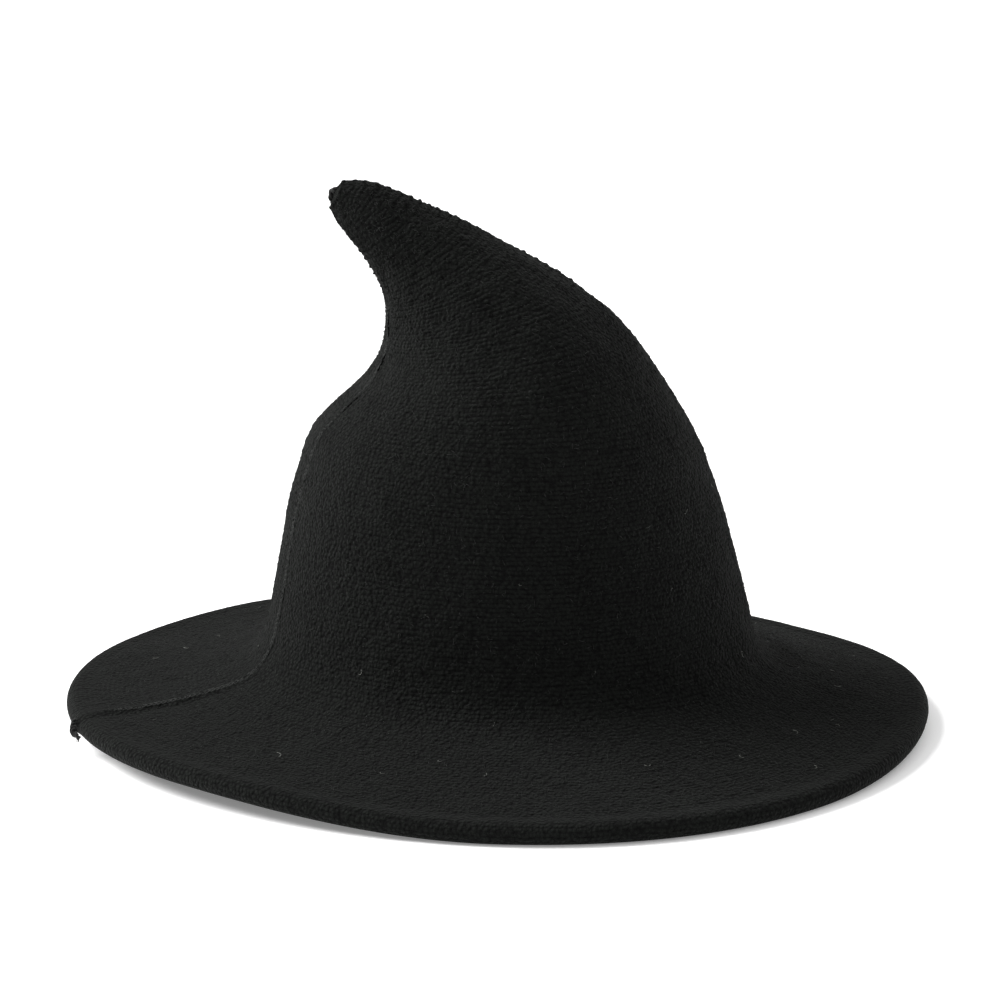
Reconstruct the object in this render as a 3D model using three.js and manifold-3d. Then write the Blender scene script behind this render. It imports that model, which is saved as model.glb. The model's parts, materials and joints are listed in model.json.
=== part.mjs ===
// A knitted witch hat: one tube of thick fulled wool that starts at the brim's turned hem, rises as the
// crown, bends over as the horn and is drawn closed at the tip.
// Millimetres. The origin lies on the table under the middle of the brim. +Z is up, +X is the front of the
// hat, and -X is the back, where the seam runs and where the horn leans.
import * as THREE from 'three';
import { mergeVertices } from 'three/addons/utils/BufferGeometryUtils.js';
import Module from 'manifold-3d';

const wasm = await Module();
wasm.setup();

// Driving dimensions.
const FABRIC = 3; // thickness of the fulled knit
const GAP = 0.3; // clearance between neighbouring pieces
const BRIM_HALF_LENGTH = 184; // middle of the brim to its edge, front and back
const BRIM_HALF_DEPTH = 165; // middle of the brim to its edge, left and right
const HEM_WIDTH = 11.6; // the turned edge, seen from above
const HEM_HEIGHT = 9;
const BRIM_SKEW = 0.09; // how far the brim's oval is turned, as a share of its depth
const FOLD_X = 128; // where the brim folds when its front or back is turned up
const SEAM_ANGLE = 198; // degrees round from the front
const SEAM_WIDTH = 4.5;
const SEAM_HEIGHT = 2;
const SEAM_CLEARANCE = 0.6; // under the flat facets of the seam, which cross those of the fabric
const SWEATBAND = { thickness: 1, lower: 50, upper: 78 }; // lower and upper edge, heights at the front
const STITCH = { thickness: 0.6, width: 1.2, above: 3 }; // the thread line above the sweatband's lower edge
const LABEL = { width: 20, height: 24, thickness: 0.8 };
const GATHER = { radius: 3.2, height: 1.4 }; // the closing yarn's rosette
const TIP_DOME = 2.6; // how far the drawn-in end stands out from the last full ring
const YARN = { radius: 1.1, sides: 8, steps: 10 };

// Rings of the fabric from the hem up. back and front are the [x, z] ends of a ring in the middle plane,
// and depth is half its width across.
const RINGS = [
  { back: [-171.5, 9], front: [171.5, 9], depth: 152.5 }, // hem line
  { back: [-147, 14], front: [149, 14], depth: 129.5 },
  { back: [-123, 20.5], front: [130, 20.5], depth: 108.5 }, // inner brim
  { back: [-107, 28], front: [115.5, 28], depth: 94 }, // foot of the crown
  { back: [-99.5, 39], front: [109, 38], depth: 87.5 },
  { back: [-96, 52], front: [105.7, 51], depth: 85 }, // head line
  { back: [-92.3, 74], front: [100.5, 72.5], depth: 82 },
  { back: [-88.2, 96], front: [94.8, 93], depth: 79 },
  { back: [-83.5, 113], front: [88.5, 110.5], depth: 76 }, // top of the crown's wall
  { back: [-75.6, 130.3], front: [81.5, 126.5], depth: 71.5 }, // shoulder
  { back: [-57.6, 147.5], front: [63.5, 157], depth: 60.5 },
  { back: [-48, 165], front: [38, 184.2], depth: 45 }, // neck of the horn
  { back: [-48.4, 186.5], front: [-8.5, 212.6], depth: 25.5 },
  { back: [-58.5, 205], front: [-34, 224.3], depth: 16.5 }, // where the tip bends
  { back: [-64.5, 212.5], front: [-50, 231], depth: 11.5 },
  { back: [-69, 219.5], front: [-62.6, 232.4], depth: 7.2 }, // last full ring
];
const RING = { hemLine: 0, foot: 3, wallTop: 8, neck: 11, tipBend: 13, last: RINGS.length - 1 };

// How far the brim's edge rises off the table at eight points round, from the front by way of the left.
const EDGE_LIFT = [3.5, 0, 0, 3, 6, 6.5, 0, 0];

const COLOURS = {
  wool: { color: '#1d1e1d', roughness: 0.95 },
  woolEdge: { color: '#222322', roughness: 0.95 },
  seamWool: { color: '#191a19', roughness: 0.95 },
  ribbon: { color: '#141414', roughness: 0.6 },
  thread: { color: '#242424', roughness: 0.7 },
  label: { color: '#d9d6cf', roughness: 0.8 },
};

const radians = THREE.MathUtils.degToRad;
const UP_Y = new THREE.Vector3(0, 1, 0);

// The drawn-in end of the tip: rings that shrink along a quarter of a circle, seen from the side.
function domeRings(ring, dome) {
  const [bx, bz] = ring.back;
  const [fx, fz] = ring.front;
  const size = Math.hypot(fx - bx, fz - bz);
  const along = [-(fz - bz) / size, (fx - bx) / size];
  const middle = [(bx + fx) / 2, (bz + fz) / 2];
  return [45, 90].map((degrees) => {
    const shrink = Math.cos(radians(degrees));
    const rise = dome * Math.sin(radians(degrees));
    const end = (x, z) => [
      middle[0] + (x - middle[0]) * shrink + along[0] * rise,
      middle[1] + (z - middle[1]) * shrink + along[1] * rise,
    ];
    return { back: end(bx, bz), front: end(fx, fz), depth: ring.depth * shrink };
  });
}

const ALL_RINGS = [...RINGS, ...domeRings(RINGS[RING.last], TIP_DOME)];
const RING_END = ALL_RINGS.length - 1;
const backLine = new THREE.CatmullRomCurve3(
  ALL_RINGS.map((r) => new THREE.Vector3(r.back[0], r.depth, r.back[1])),
);
const frontLine = new THREE.CatmullRomCurve3(
  ALL_RINGS.map((r) => new THREE.Vector3(r.front[0], r.depth, r.front[1])),
);

// Height of the brim's edge over the table at an angle, easing from one of the eight points to the next.
function edgeLift(angle) {
  const step = (2 * Math.PI) / EDGE_LIFT.length;
  const turns = THREE.MathUtils.euclideanModulo(angle, 2 * Math.PI) / step;
  const from = Math.floor(turns) % EDGE_LIFT.length;
  const ease = (1 - Math.cos(Math.PI * (turns - Math.floor(turns)))) / 2;
  return THREE.MathUtils.lerp(EDGE_LIFT[from], EDGE_LIFT[(from + 1) % EDGE_LIFT.length], ease);
}

// How much deeper the brim's turned oval is at an angle than a plain one. Its greatest depth stays the same.
function skew(angle) {
  return (1 - BRIM_SKEW * Math.sin(angle) * Math.cos(angle)) / (1 + (BRIM_SKEW * BRIM_SKEW) / 2);
}

// A point on the outer face of the fabric, on ring number `ring` (fractions lie between two rings).
function onFabric(ring, angle) {
  const u = THREE.MathUtils.clamp(ring / RING_END, 0, 1);
  const back = backLine.getPoint(u);
  const front = frontLine.getPoint(u);
  const point = back.clone().lerp(front, (1 + Math.cos(angle)) / 2);
  const nearEdge = Math.max(0, 1 - ring / RING.foot);
  point.y = Math.max(back.y, 0) * Math.sin(angle) * THREE.MathUtils.lerp(1, skew(angle), nearEdge);
  point.z += edgeLift(angle) * nearEdge * nearEdge;
  return point;
}

// Outward direction of the fabric. At the very tip, where a ring is a point, it is the tip's own direction.
function outward(ring, angle) {
  const step = 0.01;
  const round = onFabric(ring, angle + step).sub(onFabric(ring, angle - step));
  const up = onFabric(ring + step, angle).sub(onFabric(ring - step, angle));
  if (round.length() < step * GAP) {
    const across = frontLine.getPoint(RING.last / RING_END).sub(backLine.getPoint(RING.last / RING_END));
    return across.cross(UP_Y).normalize();
  }
  return round.cross(up).normalize();
}

// A point `depth` into the fabric from its outer face, or above that face if depth is negative.
function inFabric(ring, angle, depth) {
  return onFabric(ring, angle).addScaledVector(outward(ring, angle), -depth);
}

// How much of a ring number equals GAP where the rings lie closest together.
function gapInRings(ring) {
  const step = 0.05;
  const reach = [0, Math.PI].map((a) => onFabric(ring + step, a).distanceTo(onFabric(ring - step, a)));
  return (GAP * 2 * step) / Math.min(...reach);
}

// Moves every vertex of a plain geometry, merges what then coincides and drops collapsed triangles.
function bend(geometry, place) {
  const bent = geometry.clone();
  bent.deleteAttribute('normal');
  bent.deleteAttribute('uv');
  const position = bent.attributes.position;
  for (let i = 0; i < position.count; i += 1) {
    const to = place(new THREE.Vector3().fromBufferAttribute(position, i));
    position.setXYZ(i, to.x, to.y, to.z);
  }
  const merged = mergeVertices(bent, 1e-3);
  const index = merged.index.array;
  const kept = [];
  for (let i = 0; i < index.length; i += 3) {
    const [a, b, c] = index.slice(i, i + 3);
    if (a !== b && b !== c && c !== a) kept.push(a, b, c);
  }
  merged.setIndex(kept);
  return facingOut(merged);
}

// Turns the triangles round if the body would otherwise be inside out.
function facingOut(geometry) {
  const index = geometry.index.array;
  const corner = (i) => new THREE.Vector3().fromBufferAttribute(geometry.attributes.position, index[i]);
  let volume = 0;
  for (let i = 0; i < index.length; i += 3) {
    volume += corner(i).dot(corner(i + 1).cross(corner(i + 2)));
  }
  if (volume > 0) return geometry;
  const turned = [];
  for (let i = 0; i < index.length; i += 3) turned.push(index[i], index[i + 2], index[i + 1]);
  geometry.setIndex(turned);
  return geometry;
}

// A band of fabric all the way round, between two rings. It starts as a straight tube, whose height is the
// ring number and whose wall runs from radius WALL - from in to WALL - to, and is bent into place.
function band({ lower, upper, from = 0, to = FABRIC, along, around }) {
  const WALL = 20;
  const profile = [];
  for (let i = 0; i <= along; i += 1) {
    profile.push(new THREE.Vector2(WALL - from, THREE.MathUtils.lerp(lower, upper, i / along)));
  }
  for (let i = along; i >= 0; i -= 1) {
    profile.push(new THREE.Vector2(WALL - to, THREE.MathUtils.lerp(lower, upper, i / along)));
  }
  profile.push(profile[0].clone());
  return bend(new THREE.LatheGeometry(profile, around), (v) => {
    const depth = WALL - Math.hypot(v.x, v.z);
    return inFabric(v.y, Math.atan2(v.x, v.z), depth);
  });
}

// A strip along the fabric, `width` wide and centred on one angle. depths are its two faces.
function strip({ lower, upper, angle, width, from, to, along, across = 2 }) {
  const block = new THREE.BoxGeometry(width, upper - lower, to - from, across, along, 1);
  return bend(block, (v) => {
    const ring = v.y + (lower + upper) / 2;
    const depth = v.z + (from + to) / 2;
    const sideways = onFabric(ring, angle + 0.01).distanceTo(onFabric(ring, angle - 0.01)) / 0.02;
    return inFabric(ring, angle + v.x / Math.max(sideways, SEAM_WIDTH), depth);
  });
}

// Ring number at which the front of the fabric reaches a height, found by halving.
function ringAtHeight(height) {
  let low = RING.foot;
  let high = RING.neck;
  while (high - low > 1e-4) {
    const middle = (low + high) / 2;
    if (onFabric(middle, 0).z < height) low = middle;
    else high = middle;
  }
  return low;
}

function toManifold(geometry) {
  const vertProperties = new Float32Array(geometry.attributes.position.array);
  const triVerts = new Uint32Array(geometry.index.array);
  return new wasm.Manifold(new wasm.Mesh({ numProp: 3, vertProperties, triVerts }));
}

function fromManifold(solid) {
  const mesh = solid.getMesh();
  const geometry = new THREE.BufferGeometry();
  geometry.setAttribute('position', new THREE.BufferAttribute(new Float32Array(mesh.vertProperties), 3));
  geometry.setIndex(Array.from(mesh.triVerts));
  return geometry;
}

// A block that holds everything with x between two values.
function slab(fromX, toX) {
  const size = 4 * BRIM_HALF_LENGTH;
  const block = new THREE.BoxGeometry(toX - fromX, size, size);
  block.translate((fromX + toX) / 2, 0, 0);
  block.deleteAttribute('normal');
  block.deleteAttribute('uv');
  return toManifold(mergeVertices(block));
}

// The part of a geometry with x between two values.
function between(geometry, fromX, toX) {
  return fromManifold(toManifold(geometry).intersect(slab(fromX, toX)));
}

const FAR_X = 2 * BRIM_HALF_LENGTH;
const FRONT = [FOLD_X + GAP / 2, FAR_X];
const SIDES = [-FOLD_X + GAP / 2, FOLD_X - GAP / 2];
const BACK = [-FAR_X, -FOLD_X - GAP / 2];

const footGap = gapInRings(RING.foot) / 2;
const wallGap = gapInRings(RING.wallTop) / 2;
const neckGap = gapInRings(RING.neck) / 2;
const tipGap = gapInRings(RING.tipBend) / 2;
const STRETCHES = {
  brim: { lower: RING.hemLine, upper: RING.foot - footGap, along: 6, around: 96 },
  wall: { lower: RING.foot + footGap, upper: RING.wallTop - wallGap, along: 9, around: 48 },
  top: { lower: RING.wallTop + wallGap, upper: RING.neck - neckGap, along: 7, around: 48 },
  horn: { lower: RING.neck + neckGap, upper: RING.tipBend - tipGap, along: 7, around: 36 },
  tip: { lower: RING.tipBend + tipGap, upper: RING_END, along: 8, around: 28 },
};

function brim([fromX, toX]) {
  return between(band(STRETCHES.brim), fromX, toX);
}

// The turned edge: a roll with a flat foot, thinner where it meets the brim.
function hemRing() {
  const roll = HEM_HEIGHT / 2;
  const outline = [];
  for (let degrees = -90; degrees <= 90; degrees += 30) {
    const out = roll * Math.cos(radians(degrees));
    outline.push([roll - out, roll + roll * Math.sin(radians(degrees))]);
  }
  outline.push([HEM_WIDTH, HEM_HEIGHT + 0.2], [HEM_WIDTH, HEM_HEIGHT - 5.5], [HEM_WIDTH - 3, 0]);
  outline.push(outline[0]);
  const profile = outline.map(([inward, height]) => new THREE.Vector2(BRIM_HALF_LENGTH - inward, height));
  return bend(new THREE.LatheGeometry(profile, 96), (v) => {
    const angle = Math.atan2(v.x, v.z);
    const inward = BRIM_HALF_LENGTH - Math.hypot(v.x, v.z);
    return new THREE.Vector3(
      (BRIM_HALF_LENGTH - inward) * Math.cos(angle),
      (BRIM_HALF_DEPTH - inward) * Math.sin(angle) * skew(angle),
      v.y + edgeLift(angle),
    );
  });
}

// The sides of the hem are two pieces, one on each side of the middle plane.
function hemSide(left) {
  const depth = new THREE.BoxGeometry(4 * BRIM_HALF_LENGTH, FAR_X, FAR_X);
  depth.translate(0, (left ? FAR_X : -FAR_X) / 2, 0);
  depth.deleteAttribute('normal');
  depth.deleteAttribute('uv');
  const half = toManifold(mergeVertices(depth));
  return fromManifold(toManifold(between(hemRing(), ...SIDES)).intersect(half));
}

// The raised back seam, a strip on the outer face of one stretch of the fabric.
function seam({ lower, upper, along }) {
  const angle = radians(SEAM_ANGLE);
  const faces = { from: -SEAM_HEIGHT - SEAM_CLEARANCE, to: -SEAM_CLEARANCE };
  return strip({ lower, upper, angle, width: SEAM_WIDTH, along, ...faces });
}

function brimSeam([fromX, toX]) {
  return between(seam(STRETCHES.brim), fromX, toX);
}

// The ribbon round the inside, against the fabric from the head line up.
function sweatband() {
  const from = FABRIC + GAP;
  const lower = ringAtHeight(SWEATBAND.lower);
  const upper = ringAtHeight(SWEATBAND.upper);
  return band({ lower, upper, from, to: from + SWEATBAND.thickness, along: 3, around: 48 });
}

// The thread line that holds the sweatband.
function sweatbandThread() {
  const from = FABRIC + SWEATBAND.thickness + 2 * GAP;
  const lower = ringAtHeight(SWEATBAND.lower + STITCH.above);
  const upper = ringAtHeight(SWEATBAND.lower + STITCH.above + STITCH.width);
  return band({ lower, upper, from, to: from + STITCH.thickness, along: 1, around: 48 });
}

// A blank label on the sweatband at the back, above the thread line.
function sizeLabel() {
  const from = FABRIC + SWEATBAND.thickness + 2 * GAP;
  const middle = (SWEATBAND.lower + SWEATBAND.upper) / 2 + STITCH.above;
  const lower = ringAtHeight(middle - LABEL.height / 2 + STITCH.above);
  const upper = ringAtHeight(middle + LABEL.height / 2);
  const angle = Math.PI;
  return strip({ lower, upper, angle, width: LABEL.width, from, to: from + LABEL.thickness, along: 3 });
}

// The rosette of yarn that draws the tip closed, a low domed button just off the end.
function tipGather() {
  const profile = [new THREE.Vector2(0, GAP)];
  profile.push(new THREE.Vector2(GATHER.radius, GAP));
  for (let degrees = 30; degrees <= 90; degrees += 30) {
    const out = Math.max(0, GATHER.radius * Math.cos(radians(degrees)));
    profile.push(new THREE.Vector2(out, GAP + GATHER.height * Math.sin(radians(degrees))));
  }
  const button = bend(new THREE.LatheGeometry(profile, 16), (v) => v);
  const facing = outward(RING_END, 0);
  button.applyQuaternion(new THREE.Quaternion().setFromUnitVectors(UP_Y, facing));
  const end = onFabric(RING_END, 0);
  button.translate(end.x, end.y, end.z);
  return button;
}

// The knotted end of the closing yarn, against the outer face of the hem where the seam meets it.
function yarnTail() {
  const place = (degrees, outside, height) => {
    const angle = radians(SEAM_ANGLE + degrees);
    return new THREE.Vector3(
      (BRIM_HALF_LENGTH + outside) * Math.cos(angle),
      (BRIM_HALF_DEPTH + outside) * Math.sin(angle) * skew(angle),
      edgeLift(angle) + height,
    );
  };
  const path = new THREE.CatmullRomCurve3([
    place(-0.2, 1.6, 6.2),
    place(0.7, 2.6, 5),
    place(1.9, 2.4, 3.5),
    place(3.1, 1.8, 2.6),
  ]);
  const section = new THREE.Shape();
  section.absarc(0, 0, YARN.radius, 0, 2 * Math.PI);
  const tube = new THREE.ExtrudeGeometry(section, {
    steps: YARN.steps,
    curveSegments: YARN.sides / 2,
    extrudePath: path,
  });
  return bend(tube, (v) => v);
}

function piece(name, geometry, colour) {
  const mesh = new THREE.Mesh(geometry, new THREE.MeshStandardMaterial({ metalness: 0, ...colour }));
  mesh.name = name;
  return mesh;
}

const hat = new THREE.Group();
hat.add(
  piece('crown_wall', band(STRETCHES.wall), COLOURS.wool),
  piece('crown_top', band(STRETCHES.top), COLOURS.wool),
  piece('brim', brim(SIDES), COLOURS.wool),
  piece('hem_left_side', hemSide(true), COLOURS.woolEdge),
  piece('hem_right_side', hemSide(false), COLOURS.woolEdge),
  piece('seam_crown_wall', seam(STRETCHES.wall), COLOURS.seamWool),
  piece('seam_crown_top', seam(STRETCHES.top), COLOURS.seamWool),
  piece('seam_brim', brimSeam(SIDES), COLOURS.seamWool),
  piece('sweatband', sweatband(), COLOURS.ribbon),
  piece('sweatband_thread', sweatbandThread(), COLOURS.thread),
  piece('size_label', sizeLabel(), COLOURS.label),
  piece('horn', band(STRETCHES.horn), COLOURS.wool),
  piece('seam_horn', seam(STRETCHES.horn), COLOURS.seamWool),
  piece('horn_tip', band(STRETCHES.tip), COLOURS.wool),
  piece('seam_tip', seam({ ...STRETCHES.tip, upper: RING.last }), COLOURS.seamWool),
  piece('tip_gather', tipGather(), COLOURS.thread),
  piece('brim_front', brim(FRONT), COLOURS.wool),
  piece('hem_front', between(hemRing(), ...FRONT), COLOURS.woolEdge),
  piece('brim_back', brim(BACK), COLOURS.wool),
  piece('hem_back', between(hemRing(), ...BACK), COLOURS.woolEdge),
  piece('seam_brim_back', brimSeam(BACK), COLOURS.seamWool),
  piece('yarn_tail', yarnTail(), COLOURS.thread),
);

export default hat;
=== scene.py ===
import json
import math
from functools import partial

import bmesh
import bpy
import numpy as np
from bpy.props import FloatProperty, FloatVectorProperty, IntProperty, PointerProperty
from mathutils import Matrix, Vector

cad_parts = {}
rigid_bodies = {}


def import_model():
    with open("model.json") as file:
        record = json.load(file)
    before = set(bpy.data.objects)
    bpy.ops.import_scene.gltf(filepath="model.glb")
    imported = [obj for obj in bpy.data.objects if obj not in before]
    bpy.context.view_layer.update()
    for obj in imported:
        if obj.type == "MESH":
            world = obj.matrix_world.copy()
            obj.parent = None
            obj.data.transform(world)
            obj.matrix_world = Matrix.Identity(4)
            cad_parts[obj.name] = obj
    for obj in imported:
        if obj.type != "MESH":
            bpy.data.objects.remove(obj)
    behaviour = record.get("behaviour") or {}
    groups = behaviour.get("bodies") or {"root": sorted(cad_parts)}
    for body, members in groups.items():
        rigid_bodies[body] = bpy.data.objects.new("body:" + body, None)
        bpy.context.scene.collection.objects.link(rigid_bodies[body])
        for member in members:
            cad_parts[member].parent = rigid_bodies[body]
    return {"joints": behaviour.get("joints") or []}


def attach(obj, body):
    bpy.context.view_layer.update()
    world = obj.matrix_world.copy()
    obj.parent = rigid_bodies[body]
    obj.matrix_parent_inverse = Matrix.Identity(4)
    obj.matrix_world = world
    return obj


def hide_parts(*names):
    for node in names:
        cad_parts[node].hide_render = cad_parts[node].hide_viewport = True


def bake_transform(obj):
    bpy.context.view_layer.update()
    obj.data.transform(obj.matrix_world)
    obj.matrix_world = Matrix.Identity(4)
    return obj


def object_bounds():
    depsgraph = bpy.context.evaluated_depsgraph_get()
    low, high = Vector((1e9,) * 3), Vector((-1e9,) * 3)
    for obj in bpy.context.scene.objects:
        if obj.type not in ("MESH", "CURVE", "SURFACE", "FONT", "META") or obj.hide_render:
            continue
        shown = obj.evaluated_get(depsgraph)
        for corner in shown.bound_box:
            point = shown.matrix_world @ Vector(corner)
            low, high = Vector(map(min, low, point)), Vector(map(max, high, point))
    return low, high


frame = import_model()
CAD_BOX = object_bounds()

bl_info = {
    "name": "Knitted witch hat",
    "version": (1, 0, 0),
    "blender": (4, 5, 0),
    "location": "View3D > Sidebar > Hat",
    "description": "Builds a fulled wool witch hat, its trims and a pale studio around the packed frame",
    "category": "Object",
}

MM = 0.001
JOINTS = {joint["name"]: joint for joint in frame["joints"]}
ROOT = JOINTS["horn_straighten"]["parent"]
BRIM_LENGTH = CAD_BOX[1].x / MM  # middle of the brim to its edge, front and back
BRIM_DEPTH = CAD_BOX[1].y / MM  # middle of the brim to its edge, left and right

# ---------------------------------------------------------------------------
# The shape of the fabric, in millimetres

# Rings of the fabric from the hem up: x and z of the back end, x and z of the front end, half the width.
RINGS = (
    (-171.5, 9, 171.5, 9, 152.5),  # hem line
    (-147, 14, 149, 14, 129.5),
    (-123, 20.5, 130, 20.5, 108.5),  # inner brim
    (-107, 28, 115.5, 28, 94),  # foot of the crown
    (-99.5, 39, 109, 38, 87.5),
    (-96, 52, 105.7, 51, 85),  # head line
    (-92.3, 74, 100.5, 72.5, 82),
    (-88.2, 96, 94.8, 93, 79),
    (-83.5, 113, 88.5, 110.5, 76),  # top of the crown's wall
    (-75.6, 130.3, 81.5, 126.5, 71.5),  # shoulder
    (-57.6, 147.5, 63.5, 157, 60.5),
    (-48, 165, 38, 184.2, 45),  # neck of the horn
    (-48.4, 186.5, -8.5, 212.6, 25.5),
    (-58.5, 205, -34, 224.3, 16.5),  # where the tip bends
    (-64.5, 212.5, -50, 231, 11.5),
    (-69, 219.5, -62.6, 232.4, 7.2),  # last full ring
)
FOOT, HEAD_LINE, WALL_TOP, NECK, TIP_BEND, LAST = 3, 5, 8, 11, 13, len(RINGS) - 1
HORN_START = 12.2  # ring where the horn's own piece of knitting starts, between the two bends
TIP_DOME = 2.6  # the drawn-in end stands out this far past the last ring
TIP_END = LAST + 1
EDGE_LIFT = (3.5, 0, 0, 3, 6, 6.5, 0, 0)  # brim edge over the table, at eight points from the front
BRIM_SKEW = 0.09  # how far the brim's oval is turned, as a share of its depth
SEAM = math.radians(198)
NEAR_SIDE = -math.pi / 2
FABRIC = 3.0
HEM_ROLL = 4.5
HEM_LINE = 12.5  # from the brim's edge


def spline(rows):
    """A smooth curve through rows of values one unit apart, as a function of the row number."""
    values = np.array(rows, float)
    count = len(values)
    system = np.eye(count)
    pull = np.zeros_like(values)
    for i in range(1, count - 1):
        system[i, i - 1:i + 2] = (1, 4, 1)
        pull[i] = 6 * (values[i + 1] - 2 * values[i] + values[i - 1])
    curve = np.linalg.solve(system, pull)

    def at(place):
        i = np.clip(np.floor(place).astype(int), 0, count - 2)
        after = (place - i)[..., None]
        before = 1 - after
        bend = (before**3 - before) * curve[i] + (after**3 - after) * curve[i + 1]
        return before * values[i] + after * values[i + 1] + bend / 6

    return at


ring_ends = spline(RINGS)


def edge_lift(angle):
    turns = np.mod(angle, 2 * math.pi) / (2 * math.pi / len(EDGE_LIFT))
    at = np.floor(turns).astype(int) % len(EDGE_LIFT)
    ease = (1 - np.cos(math.pi * (turns - np.floor(turns)))) / 2
    lifts = np.array(EDGE_LIFT)
    return lifts[at] + (lifts[(at + 1) % len(lifts)] - lifts[at]) * ease


def skew(angle):
    """How much deeper the brim's turned oval is at an angle than a plain one."""
    return (1 - BRIM_SKEW * np.sin(angle) * np.cos(angle)) / (1 + BRIM_SKEW**2 / 2)


def on_fabric(ring, angle):
    """Points of the fabric's outer face, as an array of x, y, z."""
    ring, angle = np.broadcast_arrays(np.asarray(ring, float), np.asarray(angle, float))
    back_x, back_z, front_x, front_z, depth = np.moveaxis(ring_ends(np.minimum(ring, LAST)), -1, 0)
    dome = np.clip(ring - LAST, 0, 1) * math.pi / 2
    shrink = np.cos(dome)
    half_x, half_z = (front_x - back_x) / 2, (front_z - back_z) / 2
    size = np.hypot(half_x, half_z)
    rise = TIP_DOME * np.sin(dome)
    near_edge = np.clip(1 - ring / FOOT, 0, 1)
    x = (back_x + front_x) / 2 + half_x * np.cos(angle) * shrink - rise * half_z / size
    z = (back_z + front_z) / 2 + half_z * np.cos(angle) * shrink + rise * half_x / size
    y = depth * np.sin(angle) * shrink * (1 + (skew(angle) - 1) * near_edge)
    return np.stack([x, y, z + edge_lift(angle) * near_edge**2], -1)


def unit(vectors):
    return vectors / np.maximum(np.linalg.norm(vectors, axis=-1, keepdims=True), 1e-9)


def round_it(ring, angle):
    """Direction round the hat, along a course."""
    step = 0.01
    return on_fabric(ring, angle + step) - on_fabric(ring, angle - step)


def up_it(ring, angle):
    """Direction up the hat, along a wale."""
    step = 0.01
    ring = np.asarray(ring, float)
    return on_fabric(np.minimum(ring + step, TIP_END), angle) - on_fabric(np.maximum(ring - step, 0), angle)


def chord(ring):
    """The direction that the fabric runs in at a ring, in the middle plane."""
    back_x, back_z, front_x, front_z, _ = ring_ends(np.array([float(ring)]))[0]
    return unit(np.array([back_z - front_z, 0, front_x - back_x]))


def outward(ring, angle):
    """Outward direction of the fabric. At the very end of the tip it is the tip's own direction."""
    facing = unit(np.cross(round_it(ring, angle), up_it(ring, angle)))
    at_end = np.clip((np.asarray(ring, float) - (TIP_END - 0.05)) / 0.05, 0, 1)
    at_end = np.broadcast_to(at_end, facing.shape[:-1])[..., None]
    return unit(facing * (1 - at_end) + chord(LAST) * at_end)


def ring_at_height(height):
    """Ring at which the front of the crown reaches a height."""
    rings = np.linspace(FOOT, NECK, 400)
    return float(np.interp(height, ring_ends(rings)[:, 3], rings))


# ---------------------------------------------------------------------------
# The knit: courses run round the hat, wales run up it

COURSE = 1.9  # height of a course on the brim and crown
HORN_COURSE = 2.0
# From this ring up, the wales that go round. On the crown and horn they divide the columns of their piece.
WALE_BANDS = ((0, 540), (1.4, 360), (FOOT, 270), (WALL_TOP, 216), (9.7, 162), (NECK, 108), (HORN_START, 90),
              (14, 60))
# Rows of points for each course, and columns of points round each kind of piece.
BRIM_ROWS, CROWN_ROWS = 3, 4
BRIM_HALF_COLUMNS, WALL_COLUMNS, TOP_COLUMNS, HORN_COLUMNS = 720, 1080, 648, 540


def running(steps):
    """The total so far before each step, and after the last."""
    return np.concatenate([[0], np.cumsum(steps)])


def course_table():
    """Ring numbers and the course number at each, counted up from the hem line along the near side."""
    rings = np.linspace(0, TIP_END, 1601)
    points = on_fabric(rings, NEAR_SIDE)
    steps = np.linalg.norm(np.diff(points, axis=0), axis=1)
    middle = (rings[1:] + rings[:-1]) / 2
    pitch = np.interp(middle, (WALL_TOP + 1, NECK), (COURSE, HORN_COURSE))
    return rings, running(steps / pitch)


COURSE_RINGS, COURSE_NUMBERS = course_table()


def course_at(ring):
    return np.interp(ring, COURSE_RINGS, COURSE_NUMBERS)


def ring_at(course):
    return np.interp(course, COURSE_NUMBERS, COURSE_RINGS)


# Courses at which one piece of the knitting ends and the next begins.
EDGE_COURSE = 8
FOOT_COURSE, LOWER_COURSE, HEAD_COURSE, WALL_COURSE, SHOULDER_COURSE, HORN_COURSE_NUMBER = (
    round(float(course_at(ring))) for ring in (FOOT, 4.6, 6.3, WALL_TOP, 10.2, HORN_START)
)
LAST_COURSE = float(course_at(TIP_END))
JOINS = np.array([0, EDGE_COURSE, FOOT_COURSE, LOWER_COURSE, HEAD_COURSE, WALL_COURSE, SHOULDER_COURSE,
                  HORN_COURSE_NUMBER])


def wales_at(course):
    """How many wales go round at a course."""
    count = np.full(np.shape(course), WALE_BANDS[0][1])
    for ring, wales in WALE_BANDS[1:]:
        count = np.where(np.floor(course) >= round(float(course_at(ring))), wales, count)
    return count


def scatter(*numbers):
    """A steady random number from 0 to 1 for each set of whole numbers."""
    mix = np.sin(sum(n * k for n, k in zip(numbers, (12.9898, 78.233, 37.719)))) * 43758.5453
    return mix - np.floor(mix)


def lumps(points, size):
    """Smooth noise from -1 to 1, in lumps about size millimetres across."""
    cell = np.floor(points / size)
    ease = points / size - cell
    ease = ease * ease * (3 - 2 * ease)
    total = np.zeros(points.shape[:-1])
    for corner in np.ndindex(2, 2, 2):
        value = 2 * scatter(*np.moveaxis(cell + corner, -1, 0)) - 1
        total += value * np.prod(np.where(corner, ease, 1 - ease), -1)
    return total


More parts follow.
